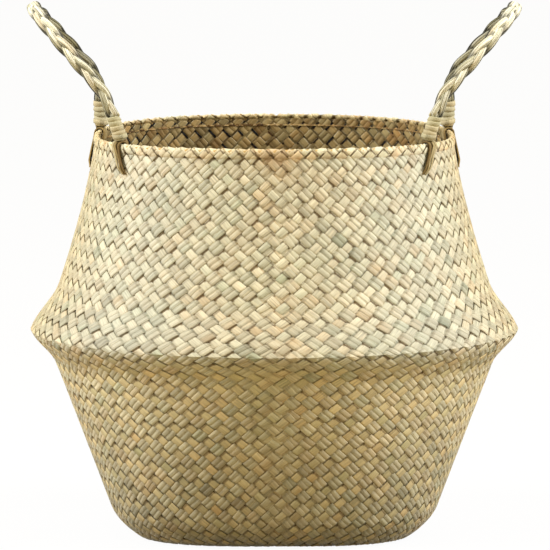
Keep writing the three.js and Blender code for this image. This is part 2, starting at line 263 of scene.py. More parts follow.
def leafMaterial(name, looks):
    # colour: a ramp by "dryness" and blotches, browned by the painted light-and-shade tint,
    # darkened by painted shadows in the chinks, scaled by "shade" (tone, and painted light and
    # shade), and streaked by fibres, which are noise drawn out along the leaf and also roughen and
    # raise it a little
    material = bpy.data.materials.new(name)
    material.use_nodes = True
    tree = material.node_tree
    shader = tree.nodes["Principled BSDF"]
    place = addNode(tree, "UVMap", {"uv_map": "leafMap"})
    dryness, shade, lightAndShadeTint = (addNode(tree, "Attribute", {"attribute_name": key}).outputs["Fac"]
                              for key in ("dryness", "shade", "lightAndShadeTint"))
    stretch = (1 / looks["fibreWidth"], 1 / looks["fibreLength"], 1.0)
    alongLeaf = addNode(tree, "Mapping", {"Scale": stretch}, {"Vector": place})
    fibres = addNode(tree, "TexNoise", {"Scale": 1.0, "Detail": 2.5, "Roughness": 0.6},
                     {"Vector": alongLeaf})
    blotchScale = (1 / leafSkinAndShadows["blotch"][0], 1 / leafSkinAndShadows["blotch"][1], 1.0)
    overLeaf = addNode(tree, "Mapping", {"Scale": blotchScale}, {"Vector": place})
    blotches = addNode(tree, "TexNoise", {"Scale": 1.0, "Detail": 2.0}, {"Vector": overLeaf})
    mottle = leafSkinAndShadows["mottle"]
    mottled = addNode(tree, "MapRange", {"To Min": -mottle, "To Max": mottle}, {"Value": blotches})
    shifted = addNode(tree, "Math", {"operation": "ADD"}, {0: dryness, 1: mottled})
    colour = addNode(tree, "ValToRGB", links={"Fac": shifted})
    stops = colour.color_ramp.elements
    while len(stops) < len(looks["shades"]):
        stops.new(1.0)
    for stop, (position, code) in zip(stops, looks["shades"]):
        stop.position = position
        stop.color = srgb(code)
    streak = addNode(tree, "MapRange",
                     {"From Min": 0.3, "From Max": 0.62,
                      "To Min": 1 - looks["fibreContrast"], "To Max": 1.06},
                     {"Value": fibres})
    level = {"operation": "MULTIPLY_ADD", 1: looks["shadeSpread"], 2: 1.0}
    scale = addNode(tree, "Math", level, {0: shade})
    both = addNode(tree, "Math", {"operation": "MULTIPLY"}, {0: streak, 1: scale})
    tint = {"operation": "MULTIPLY_ADD", 1: leafSkinAndShadows["paintedTintColour"], 2: (1, 1, 1)}
    brown = addNode(tree, "VectorMath", tint, {0: lightAndShadeTint})
    for factor in (brown, paintedChinkShadows(tree), both):
        colour = addNode(tree, "VectorMath", {"operation": "MULTIPLY"}, {0: colour, 1: factor})
    tree.links.new(colour.outputs[0], shader.inputs["Base Color"])
    shader.inputs["Specular IOR Level"].default_value = leafSkinAndShadows["gloss"]
    satin = addNode(tree, "MapRange",
                    {"To Min": looks["roughness"] + 0.16, "To Max": looks["roughness"] - 0.06},
                    {"Value": fibres})
    tree.links.new(satin.outputs[0], shader.inputs["Roughness"])
    relief = {"Distance": looks["bumpDepth"], "Strength": 0.9}
    bump = addNode(tree, "Bump", relief, {"Height": fibres})
    tree.links.new(bump.outputs[0], shader.inputs["Normal"])
    return material


materials = {}
for slot, looks in leafLooks.items():
    materials[slot] = leafMaterial("dry seagrass, " + slot, looks)
print("materials made:", len(materials))


def bell(distance, reach):
    # half a cosine wave: 1 at no distance, 0 from reach on
    return 0.5 + 0.5 * np.cos(np.pi * np.clip(np.abs(distance), 0, reach) / reach)


def profileRadius(height):
    # below the fold a straight slope with a drawn-in edge, above it a hollow one (the way left to
    # the rim, to a power), and a lip at the fold
    b = basket
    rise = height / b["foldHeight"]
    edge = np.maximum(0, 1 - height / b["edgeHeight"])
    lower = b["baseRadius"] + (b["bellyRadius"] - b["baseRadius"]) * rise - b["edgeInset"] * edge**2
    lower += b["lipReach"] * bell(b["foldHeight"] - height, b["lipBelow"])
    left = np.clip(1 - (height - b["foldHeight"]) / (b["rimHeight"] - b["foldHeight"]), 0, 1)
    upper = b["rimRadius"] + (b["bellyRadius"] - b["rimRadius"]) * left ** b["upperHollow"]
    upper += b["lipReach"] * bell(height - b["foldHeight"], b["lipAbove"])
    return np.where(height <= b["foldHeight"], lower, upper)


def squareness(height):
    # the power of the superellipse: more square at the base, nearly round from the fold up
    b = basket
    lower = 2 + (b["baseSquareness"] - 2) * np.clip(1 - height / b["foldHeight"], 0, 1) ** 2
    share = (height - b["foldHeight"]) / (b["rimHeight"] - b["foldHeight"])
    upper = 2 + (b["rimSquareness"] - 2) * np.clip(share, 0, 1)
    return np.where(height <= b["foldHeight"], lower, upper)


def outerRadius(angle, height):
    # the profile's radius laid on the superellipse |x|^power + |y|^power = radius^power
    power = squareness(height)
    square = np.abs(np.cos(angle)) ** power + np.abs(np.sin(angle)) ** power
    return profileRadius(height) * square ** (-1 / power)


handle = {
    "turn": math.radians(9.8),  # how far the handles' middle lies in front of the basket's
    "rise": 0.107,  # from the pivot up along the sheet in which the handle lies
    "frontLean": math.radians(19.3),  # how far each leg leans outwards at its root
    "backLean": math.radians(2),
    "tipLean": math.radians(41),
    "leanLength": 0.030,  # in which a leg's lean grows to the tip's
    "gripWidth": 0.0097,
    "gripThickness": 0.0094,
    "neckWidth": 0.0088,
    "neckThickness": 0.0084,
    "neckLength": 0.030,
    "braidStart": 0.35,  # of the whipping's height
    "neckStart": 0.65,
    "archPower": 2.7,  # of the arch's superellipse
    "whipSpan": 0.0164,
    "whipRadius": 0.0042,
    "pivotHeight": 0.300021,
    "frontRoot": (0.112985, -0.073669),  # the right handle's
    "backRoot": (0.128705, 0.030912),
}


def dipped(angle, height):
    # the rim sinks a little where each handle pulls on it
    b = basket
    foldTop = b["foldHeight"] + b["blendShare"] * (b["rimHeight"] - b["foldHeight"])
    share = np.clip((height - foldTop) / (b["rimHeight"] - foldTop), 0, None)
    pull = np.maximum(0, np.cos(angle + handle["turn"])) ** b["dipSharpness"]
    pull += np.maximum(0, -np.cos(angle - handle["turn"])) ** b["dipSharpness"]
    return height - b["rimDip"] * pull * share**2


# the way up the wall's profile, from the base's edge to the rim: a table of length against height
heights = np.linspace(0, basket["rimHeight"], 4000)
steps = np.hypot(np.diff(heights), np.diff(profileRadius(heights)))
lengths = np.concatenate([[0], np.cumsum(steps)])
foldLength = float(np.interp(basket["foldHeight"], heights, lengths))


def skin(angle, climb):
    # the outer skin at a length up the profile; below nought it runs flat in under the base
    height = np.interp(climb, lengths, heights)
    under = np.minimum(climb, 0)
    over = np.maximum(climb - lengths[-1], 0)
    radius = outerRadius(angle, height) + under
    level = dipped(angle, height) + over
    return np.stack([radius * np.cos(angle), radius * np.sin(angle), level], -1)


def skinNormal(angle, climb):
    # across the skin, outwards, from differences over a millimetre or so, which rounds the fold
    turn, rise = 0.004, 0.0011  # radians and metres
    aroundIt = skin(angle + turn, climb) - skin(angle - turn, climb)
    upIt = skin(angle, climb + rise) - skin(angle, climb - rise)
    normal = np.cross(aroundIt, upIt)
    return normal / np.linalg.norm(normal, axis=-1, keepdims=True)


def smoothNoise(count, along, wavelength, waves=5):
    # one row for each leaf: a sum of sines of random length and phase, about one in size
    total = 0
    for _ in range(waves):
        frequency = (2 * np.pi / wavelength) * rng.uniform(0.5, 1.7, (count, 1))
        total += np.sin(frequency * along + rng.uniform(0, 2 * np.pi, (count, 1)))
    return total / math.sqrt(waves)


def putRibbons(name, grid, leafMap, dryness, shade, slot, dive=0.5, gap=0.0, lightAndShadeTint=0.0):
    # grid is leaves x rows x points round the section; each leaf is a closed tube with capped ends
    leaves, rows, around = grid.shape[:3]
    index = np.arange(leaves * rows * around).reshape(leaves, rows, around)
    ahead = np.roll(index, -1, axis=2)
    quads = np.stack([index[:, :-1], ahead[:, :-1], ahead[:, 1:], index[:, 1:]], -1).reshape(-1, 4)
    caps = np.concatenate([index[:, 0, ::-1], index[:, -1]]).reshape(-1, around)
    points = grid.reshape(-1, 3)
    # faces whose area vectors point inwards on the whole are turned round
    corners = points[quads] - points.mean(0)
    area = np.cross(corners[:, 2] - corners[:, 0], corners[:, 3] - corners[:, 1])
    if (corners.mean(1) * area).sum() < 0:
        quads, caps = quads[:, ::-1], caps[:, ::-1]
    loops = np.concatenate([quads.ravel(), caps.ravel()])
    capStarts = len(quads) * 4 + np.arange(len(caps)) * around
    starts = np.concatenate([np.arange(len(quads)) * 4, capStarts])
    mesh = bpy.data.meshes.new(name)
    mesh.vertices.add(len(points))
    mesh.vertices.foreach_set("co", points.ravel().astype(np.float32))
    mesh.loops.add(len(loops))
    mesh.loops.foreach_set("vertex_index", loops.astype(np.int32))
    mesh.polygons.add(len(starts))
    mesh.polygons.foreach_set("loop_start", starts.astype(np.int32))
    mesh.update(calc_edges=True)
    side = np.tile(np.arange(around), leaves * (rows - 1))
    smooth = np.concatenate([np.isin(side, smoothSides), np.zeros(len(caps), bool)])
    mesh.polygons.foreach_set("use_smooth", smooth)
    across = np.broadcast_to(sectionAcross, grid.shape[:3])
    edgeMap = np.stack([across, np.broadcast_to(dive, grid.shape[:3])], -1)
    for key, values in (("leafMap", leafMap), ("edgeMap", edgeMap)):
        layer = mesh.uv_layers.new(name=key)
        layer.data.foreach_set("uv", values.reshape(-1, 2)[loops].ravel().astype(np.float32))
    for key, values in (("dryness", dryness), ("shade", shade), ("gap", gap), ("lightAndShadeTint", lightAndShadeTint)):
        attribute = mesh.attributes.new(key, "FLOAT", "POINT")
        spread = np.broadcast_to(values, grid.shape[:3])
        attribute.data.foreach_set("value", spread.ravel().astype(np.float32))
    mesh.validate()
    piece = bpy.data.objects.new(name, mesh)
    bpy.context.scene.collection.objects.link(piece)
    mesh.materials.append(materials[slot])
    return piece


# a leaf's section, as shares of its half width and half thickness: flat, with narrow slanted edges;
# only its broad sides, the second and fifth, are smooth along the leaf
sectionAcross = np.array([-1.0, -0.84, 0.84, 1.0, 0.84, -0.84])
sectionUp = np.array([0.0, 0.9, 0.9, 0.0, -0.9, -0.9])
smoothSides = (1, 4)
underside = np.array([0.0, 0.0, 0.0, 0.0, 1.0, 1.0])


def weave(place):
    # over for two crossings and under for two: a sine with its tops pressed flat, from 1 to -1
    sharp = plait["weaveSharpness"]
    return np.tanh(sharp * np.sin(np.pi * place / 2)) / math.tanh(sharp)


def ease(value):
    # from 0 to 1 with no corner at either end
    t = np.clip(value, 0, 1)
    return t * t * (3 - 2 * t)


def pairNoise(count, along, wavelength):
    # smooth noise that the two leaves of a pair share
    return np.repeat(smoothNoise(count // 2, along[::2], wavelength), 2, axis=0)


def leafMapOf(across, run):
    # the leaf's map in metres: the place across it and the run along it
    return np.stack(np.broadcast_arrays(across, run[..., None]), -1)


def leafAngle(a, b):
    # a quarter of both counts is the cells gone round, from the middle of the front
    return 2 * np.pi * (a + b) / 4 / plait["cellsAround"] - np.pi / 2


def wallPlace(angle, climb, depth):
    # a point so far out from the middle of the wall
    out = depth - basket["wallThickness"] / 2
    return skin(angle, climb) + skinNormal(angle, climb) * out[..., None]


def leafTones(number, along, other, angle, climb, broad, hidden):
    # dryness, shade, the painted light-and-shade tint and gap (the chinks' painted shadows) at each
    # row:
    # noise for each pair, leaf and stretch, and what the tones say for the place; a pair shares the
    # tone of each stretch over or under
    t = tones
    count = len(number)
    stretch = np.floor(other / 2).astype(int) % plait["mostStretches"]
    pairShade = rng.normal(size=(count // 2, plait["mostStretches"]))
    pairDryness = rng.normal(size=(count // 2, plait["mostStretches"]))
    pick = (number // 2, stretch)
    shade = t["slowShade"] * pairNoise(count, along, t["slowShadeWave"])
    shade += t["leafShade"] * rng.normal(size=(count, 1))
    shade += t["stretchShade"] * pairShade[pick]
    dryness = t["middleDryness"] + t["slowDryness"] * pairNoise(count, along, t["slowDrynessWave"])
    dryness += t["leafDryness"] * rng.normal(size=(count, 1))
    dryness += t["stretchDryness"] * pairDryness[pick]
    fromFront = np.sin((angle + np.pi / 2) / 2)
    rusty = bell(fromFront, t["rustyWidth"]) * bell(lengths[-1] - climb, t["rustyDrop"])
    dryness = np.clip(dryness + t["rustyDryness"] * rusty, 0, t["mostDryness"])
    above = climb - foldLength
    handleSide = np.cos(angle) ** 8
    fullSide = handleSide * ease((above - t["handleSideStart"]) / t["handleSideReach"])
    # painted shade where a leaf dives under, under the handles, near the floor and above the fold;
    # painted light on the broad leaves
    shade = np.clip(shade, -1.0, 1.0) + t["diveShade"] * (1 - weave(other) ** 2)
    shade += t["rustyShade"] * rusty
    shade += t["broadShade"] * broad
    shade += t["handleSideShade"] * fullSide
    shade += t["footShade"] * bell(climb, t["footReach"])
    shade += t["foldShade"] * bell(above - t["foldPlace"], t["foldReach"])
    # painted shade on the hidden leaves deep in the slits and on the inside, whose undersides are
    # also duller
    most = t["mostSpread"]
    insideSpread = 1 + t["insideSpread"] * np.clip(pairShade[pick], -most, most)
    inside = underside * insideSpread[..., None]
    shade = shade[..., None] + t["hiddenShade"] * hidden * (1 + t["hiddenInside"] * underside)
    shade += t["insideShade"] * inside
    dryness = dryness[..., None] + t["hiddenDryness"] * hidden * (1 - underside)
    dryness += t["insideDryness"] * underside
    # the browner tint: painted shade under the fold, under the handles and inside, and painted
    # light at the four quarters of the top
    below = ease(-above / t["belowReach"])
    lightAndShadeTint = below * (t["belowShadeTint"] + t["belowBroadShadeTint"] * broad)
    top = t["quarterLightTint"] * np.sin(2 * angle) ** 2 + t["handleSideShadeTint"] * handleSide
    lightAndShadeTint = (lightAndShadeTint + (1 - below) * top)[..., None] * (1 - underside)
    lightAndShadeTint += t["insideShadeTint"] * underside
    # a painted slit shadow is on one side or the other, which the gap's sign tells
    gap = rng.uniform(-1, 1, (count, plait["mostStretches"]))[(number, stretch)]
    opened = ease(t["gapContrast"] * np.abs(gap) - t["gapShut"])
    gap = np.sign(gap) * opened * (t["gapDepth"] + t["broadGapDepth"] * broad)
    gap = (gap * (1 + t["belowGap"] * below))[..., None] * (1 + t["insideGap"] * underside)
    return dryness, shade, lightAndShadeTint, gap


def plaitLeaves(rising, low, high, place):
    # leaves of one direction: a counts the rising ones and b the falling ones, so (a + b) / 4 is
    # the cells gone round and (b - a) / 4 the cells climbed; the seed is the same at any height,
    # so a leaf runs on unchanged from one part of the wall to the next
    p = plait
    rng.seed(11 if rising else 12)
    count = 2 * p["cellsAround"]
    bottom, top = low / p["cellHeight"], high / p["cellHeight"]
    number = np.arange(count)[:, None]
    # the other direction's count at each row of this leaf
    stretches = np.arange(int(math.ceil(2 * (top - bottom))) + 3)
    rows = (2 * stretches[:, None] + np.array(p["rowPlaces"])).ravel()
    if rising:
        mark = 2 * np.floor((number + 0.5 + 4 * bottom - 1.5) / 2) + rows
        along = mark - number - 0.5
    else:
        mark = 2 * np.ceil((number + 0.5 - 4 * bottom + 1.5) / 2) - rows
        along = number + 0.5 - mark
    aMiddle, bMiddle = (number + 0.5, mark) if rising else (mark, number + 0.5)
    middleAngle = leafAngle(aMiddle, bMiddle)
    middleClimb = (bMiddle - aMiddle) / 4 * p["cellHeight"]
    # rising leaves are broad on the right and falling ones on the left: there a pair's even leaf
    # takes most of the place of both, from 0 to 2, and the odd one lies deep in the slit beside it
    steepness = p["broadSteepness"] if rising else -p["broadSteepness"]
    broad = ease(0.5 + steepness * np.cos(middleAngle))
    even = number % 2 == 0
    uneven = p["gapSpread"] * pairNoise(count, along, p["gapWave"])
    beside = p["broadGap"] * broad + 0.5 * np.maximum(uneven, 0)
    split = p["splitSpread"] * pairNoise(count, along, p["gapWave"])
    lap = p["pairLap"] * (1 - broad)
    nearEdge = np.where(even, beside, 1 + split - lap + (1 - 2 * beside) * broad)
    farEdge = np.where(even, 1 + split + lap + (1 - beside) * broad, 2 + 2 * beside * broad)
    centre = number - number % 2 + (nearEdge + farEdge) / 2
    centre += p["wander"] * pairNoise(count, along, p["wanderWave"])
    pinched = 1 - p["pinch"] * (1 - weave(mark) ** 2) * even
    halfFill = (farEdge - nearEdge) / 2 * pinched
    side = centre[..., None] + halfFill[..., None] * sectionAcross
    mark = np.broadcast_to(mark[..., None], side.shape)
    a, b = (side, mark) if rising else (mark, side)
    climbed = np.clip((b - a) / 4, bottom, top)
    # pairs go over and under in turn, and the two directions in opposite turn
    sign = np.where((number // 2) % 2 == 0, 1.0, -1.0)[..., None]
    if rising:
        b = a + 4 * climbed
        over = sign * weave(b)
    else:
        a = b - 4 * climbed
        over = -sign * weave(a)
    hidden = (broad * ~even)[..., None]
    lift = (1 + p["liftSpread"] * pairNoise(count, along, p["liftWave"]))[..., None]
    depth = p["weaveHeight"] * (over * lift * (1 - hidden) - p["hiddenDepth"] * hidden)
    depth += sectionUp * p["leafHalfThickness"] * (1 - p["hiddenThinner"] * hidden)
    climb = climbed * p["cellHeight"]
    grid = place(leafAngle(a, b), climb, depth)
    crossing = p["cellHeight"] / 4 * math.sqrt(2)
    acrossLeaf = halfFill[..., None] * sectionAcross * crossing
    leafMap = leafMapOf(acrossLeaf, along * crossing + number * p["mapShift"])
    other = (b if rising else a)[..., 2]
    where = (middleAngle, middleClimb, broad, hidden)
    dryness, shade, lightAndShadeTint, gap = leafTones(number, along, other, *where)
    gone = (-other if rising else other) / 2
    return grid, leafMap, dryness, shade, gone[..., None], gap, lightAndShadeTint, climb


def makeWall(name, low, high, nodes, blended):
    # each direction of leaves in three parts, so that no piece grows too heavy; a blended wall's
    # pieces are only baked in place and attached to no body, the others are attached to the root
    for rising in (True, False):
        grid, *maps = plaitLeaves(rising, low, high, wallPlace)[:-1]
        for number in range(1, 4):
            part = slice(len(grid) * (number - 1) // 3, len(grid) * number // 3)
            label = f"{name}_{'rising' if rising else 'falling'}_leaves_{number}"
            leafMap, dryness, shade, *chinks = (values[part] for values in maps)
            piece = putRibbons(label, grid[part], leafMap, dryness, shade, "plait", *chinks)
            if blended:
                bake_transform(piece)
            else:
                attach(piece, "root")
            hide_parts(*nodes)


makeWall("lower_wall", -plait["startInside"], foldLength, ["lower_wall"], False)
print("lower wall plaited")
wallTop = lengths[-1] - plait["hemOverlap"]
makeWall("upper_wall", foldLength, wallTop, ["upper_wall", "fold_band"], True)
print("upper wall plaited")


# The base: a flat plait whose leaves run at 45 degrees to the straight sides
base = {
    "level": 0.0017,
    "pitch": 0.0041,
    "radius": 0.1008,
    "fill": 0.93,  # a leaf's width as a share of the pitch
    "fillSpread": 0.04,
    "fillWave": 9.0,
    "middleDryness": 0.45,
    "slowDryness": 0.16,
    "drynessWave": 30.0,
    "leafDryness": 0.1,
    "slowShade": 0.5,
    "shadeWave": 20.0,
    "leafShade": 0.3,
}


def baseLeaves(firstWay):
    # leaves as straight lines across a superellipse, each cut to length where it meets the edge
    b, p = base, plait
    reach = b["radius"] * 1.19  # further than the corners
    half = int(reach / b["pitch"])
    number = np.arange(-half, half + 1)[:, None]
    line = (number + 0.5) * b["pitch"]
    power = basket["baseSquareness"]
    low, high = np.zeros(len(number)), np.full(len(number), 2 * b["radius"])
    for _ in range(40):  # halve the interval until it holds the edge
        middle = (low + high) / 2
        x, y = (middle - line[:, 0]) / math.sqrt(2), (middle + line[:, 0]) / math.sqrt(2)
        inside = np.abs(x) ** power + np.abs(y) ** power < b["radius"] ** power
        low, high = np.where(inside, middle, low), np.where(inside, high, middle)
    keep = low > b["pitch"] * 2
    number, line, ends = number[keep], line[keep], low[keep][:, None]
    count = len(number)
    rows = int(2 * reach / b["pitch"] * p["rowsPerCrossing"])
    along = np.linspace(-reach, reach, rows)[None, :] / b["pitch"]
    fill = b["fill"] + b["fillSpread"] * smoothNoise(count, along, b["fillWave"])
    wander = p["wander"] * smoothNoise(count, along, p["wanderWave"])
    place = np.clip(along * b["pitch"], -ends, ends)
    centre = (number + 0.5 + wander)[..., None] * b["pitch"]
    side = centre + 0.5 * fill[..., None] * b["pitch"] * sectionAcross
    sign = np.where((number // 2) % 2 == 0, 1.0, -1.0) * (1 if firstWay else -1)
    over = sign * weave(place / b["pitch"])
    level = b["level"] + (over * p["weaveHeight"])[..., None] + sectionUp * p["leafHalfThickness"]
    ahead = np.broadcast_to(place[..., None], side.shape)
    first, second = (ahead, side) if firstWay else (side, ahead)
    grid = np.stack([(first - second) / math.sqrt(2), (first + second) / math.sqrt(2), level], -1)
    leafMap = leafMapOf(sectionAcross * 0.5 * b["pitch"], place + number * p["mapShift"])
    dryness = b["middleDryness"] + b["slowDryness"] * smoothNoise(count, along, b["drynessWave"])
    dryness += b["leafDryness"] * rng.normal(size=(count, 1))
    shade = b["slowShade"] * smoothNoise(count, along, b["shadeWave"])
    shade += b["leafShade"] * rng.normal(size=(count, 1))
    dryness, shade = np.clip(dryness, 0, 1), np.clip(shade, -1, 1)
    return grid, leafMap, dryness[..., None], shade[..., None]


for firstWay in (True, False):
    piece = putRibbons(f"woven_base_leaves_{1 if firstWay else 2}", *baseLeaves(firstWay), "plait")
    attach(piece, "root")
    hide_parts("woven_base")
print("base plaited")

# The hem: leaves that turn over the edge and are tucked in on both sides, thicker than the wall
hem = {
    "outside": 0.0070,  # straight part down the outside
    "inside": 0.0022,
    "halfThickness": 0.00145,
    "clearance": 0.00105,  # from the middle of the plait at the edge to the rim's height
    "flatter": 0.75,  # the hem's weave is pressed this flat
    "endTuck": 0.0020,
    "endDepth": 0.0019,
    "shade": 0.18,
    # a painted highlight along the hem's top edge
    "topShade": 0.8,
    "footShade": -1.9,  # painted shade where the ends that come back down tuck in, and dry at their tips
    "footDryness": 0.3,
    "footReach": 0.0042,
    "footLeast": 0.2,  # the share of that which the least of them has
    "insideStart": 0.6,  # of the way over the edge
    "insideReach": 0.002,
    # painted shade on the hem's inside, out of the light, darker and browner
    "insideShade": -1.78,
    "insideShadeTint": 0.75,
    "darkestWall": -0.8,  # limits of what the plait's tones and the hem's come to
    "darkest": -2.6,
    "mostDryness": 0.7,
}
hemDrop = hem["outside"] + hem["halfThickness"] + hem["clearance"]
hemOver = math.pi * hem["halfThickness"]
hemRun = hem["outside"] + hemOver + hem["inside"]


def hemPlace(angle, climb, depth):
    # up the outside, half round over the edge and down the inside, both ends sunk into the wall
    h = hem
    gone = climb - (lengths[-1] - hemDrop)
    bend = np.clip((gone - h["outside"]) / h["halfThickness"], 0, math.pi)
    after = np.maximum(gone - h["outside"] - hemOver, 0)
    height = np.minimum(gone, h["outside"]) + h["halfThickness"] * np.sin(bend) - after
    tucked = bell(gone, h["endTuck"]) + bell(hemRun - gone, h["endTuck"])
    depth = h["flatter"] * depth - h["endDepth"] * tucked
    rim = outerRadius(angle, np.full_like(angle, basket["rimHeight"]))
    radius = rim - basket["wallThickness"] / 2 + (h["halfThickness"] + depth) * np.cos(bend)
    level = dipped(angle, basket["rimHeight"] - hemDrop + height + depth * np.sin(bend))
    return np.stack([radius * np.cos(angle), radius * np.sin(angle), level], -1)


def makeHem(rising):
    # the plait's leaves on the hem's path: a painted highlight on the edge, painted shade at their
    # ends and inside
    h = hem
    start = lengths[-1] - hemDrop
    leaves = plaitLeaves(rising, start, start + hemRun, hemPlace)
    grid, leafMap, dryness, shade, dive, gap, lightAndShadeTint, climb = leaves
    gone = climb - start
    onTop = bell(gone - h["outside"] - hemOver / 2, 0.5 * hemOver)
    atFoot = bell(gone, h["footReach"]) * rng.uniform(h["footLeast"], 1, (len(grid), 1, 1))
    inside = ease((gone - h["outside"] - h["insideStart"] * hemOver) / h["insideReach"])
    shade = np.maximum(shade, h["darkestWall"]) + h["shade"] + h["topShade"] * onTop
    shade = shade + h["footShade"] * atFoot + h["insideShade"] * inside
    shade = np.clip(shade, h["darkest"], 1)
    dryness = np.clip(dryness, 0, h["mostDryness"]) + h["footDryness"] * atFoot
    lightAndShadeTint = lightAndShadeTint * (1 - inside) + h["insideShadeTint"] * inside
    gap = np.sign(gap) * (1 - onTop)
    name = f"rim_hem_{'rising' if rising else 'falling'}_leaves"
    piece = putRibbons(name, grid, leafMap, dryness, shade, "hem", dive, gap, lightAndShadeTint)
    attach(piece, "top")
    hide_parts("rim_hem")


makeHem(True)
makeHem(False)
print("hem folded")

# The handles' own frame: the middle between the roots, the way from front to back and the way out
frontRoot, backRoot = np.array(handle["frontRoot"]), np.array(handle["backRoot"])
rootMiddle = np.append((frontRoot + backRoot) / 2, 0)
rootChord = float(np.linalg.norm(backRoot - frontRoot))
alongRoots = np.append((backRoot - frontRoot) / rootChord, 0)
outward = np.array([alongRoots[1], -alongRoots[0], 0])
upward = np.array([0, 0, 1.0])
rises = np.linspace(0, 0.12, 1201)


def leanAt(rootLean, rise):
    # a leg's lean from upright: its root's lean, growing smoothly to the tip's above the whipping
    share = ease((rise - handle["whipSpan"]) / handle["leanLength"])
    return rootLean + (handle["tipLean"] - rootLean) * share


def leanTable(rootLean):
    # a leg's way out and up, added up from its lean
    lean = leanAt(rootLean, (rises[1:] + rises[:-1]) / 2)
    steps = np.diff(rises)
    out = np.concatenate([[0], np.cumsum(np.sin(lean) * steps)])
    up = np.concatenate([[0], np.cumsum(np.cos(lean) * steps)])
    return out, up


frontOut, frontUp = leanTable(handle["frontLean"])
backOut, backUp = leanTable(handle["backLean"])


def handlePoint(across, rise):
    # a point on the handle's curved sheet, across the roots and up along it, mixed between its legs
    share = 0.5 + np.asarray(across) / rootChord
    out = (1 - share) * np.interp(rise, rises, frontOut) + share * np.interp(rise, rises, backOut)
    up = (1 - share) * np.interp(rise, rises, frontUp) + share * np.interp(rise, rises, backUp)
    level = upward * (up + handle["pivotHeight"])[..., None]
    sideways = alongRoots * np.asarray(across)[..., None]
    return rootMiddle + level + outward * out[..., None] + sideways


def sweep(value):
    # a cosine or sine with its sign kept and its size to a power, which draws a superellipse
    return np.sign(value) * np.abs(value) ** (2 / handle["archPower"])


def unit(vectors):
    # each vector at length 1
    return vectors / np.linalg.norm(vectors, axis=-1, keepdims=True)


def archLine(count):
    # from inside the front whipping over the top to inside the back one, at even steps: points,
    # the way square to the curved sheet, and the run so far
    t = np.linspace(0, math.pi, 2001)
    across = -rootChord / 2 * sweep(np.cos(t))
    start = handle["whipSpan"]
    rise = start + (handle["rise"] - start) * sweep(np.sin(t))
    feet = np.linspace(handle["braidStart"] * start, start, 60, endpoint=False)
    across = np.concatenate([np.full(60, -rootChord / 2), across, np.full(60, rootChord / 2)])
    rise = np.concatenate([feet, rise, feet[::-1]])
    points = handlePoint(across, rise)
    run = np.concatenate([[0], np.cumsum(np.linalg.norm(np.diff(points, axis=0), axis=1))])
    even = np.linspace(0, run[-1], count)
    points = np.stack([np.interp(even, run, points[:, k]) for k in range(3)], -1)
    share = 0.5 + across / rootChord
    lean = (1 - share) * leanAt(handle["frontLean"], rise)
    lean = lean + share * leanAt(handle["backLean"], rise)
    lean = np.interp(even, run, lean)[:, None]
    face = outward * np.cos(lean) - upward * np.sin(lean)
    return points, face, even


def mirrored(points, side):
    # the left handle is the right one with its x turned round
    return points * np.array([side, 1, 1])


def leafRings(centre, flat, normal, across, halfThickness):
    # the leaf's section at each row: its width along flat, its thickness along normal
    thick = (halfThickness * sectionUp)[:, None]
    return centre[:, None] + flat[:, None] * across[..., None] + normal[:, None] * thick


braid = {
    "strands": 3,
    "period": 0.060,  # the length in which a strand comes back to where it was
    "leavesPerStrand": 8,
    "leafHalfThickness": 0.0006,
    "swing": 0.50,  # shares of the braid's half width
    "strandHalfWidth": 0.44,
    "depthSwing": 0.42,  # shares of its half thickness
    "strandHalfThickness": 0.52,
    "rows": 260,
    "leafLap": 1.12,  # how much broader than its place a leaf is
    "mapHalfWidth": 0.0013,
    "rollSway": 0.35,
    "whipSqueeze": 0.5,  # how much thinner the braid is inside the whipping
    "whipReach": 0.004,
    "backStart": 0.45,  # shares of the whole run
    "backReach": 0.2,
    "middleDryness": 0.58,
    "leafDryness": 0.14,
    "slowDryness": 0.08,
    "edgeDryness": -0.30,  # greener at a strand's two sides
    "backDryness": -0.42,  # and on the back leg, as painted shade
    "middleShade": 0.65,
    "leafShade": 0.3,
    # painted shade at a strand's sides, where it lies under another, inside the whipping, on the
    # back leg and along each leaf's edges
    "edgeShade": -1.9,
    "underShade": -2.0,  # where a strand lies under another
    "whipShade": -1.3,
    "backShade": -0.6,
    "leafEdgeShade": -0.9,
    "lightest": 0.8,
    "darkest": -1.5,
    "darkestEdge": -1.6,
}


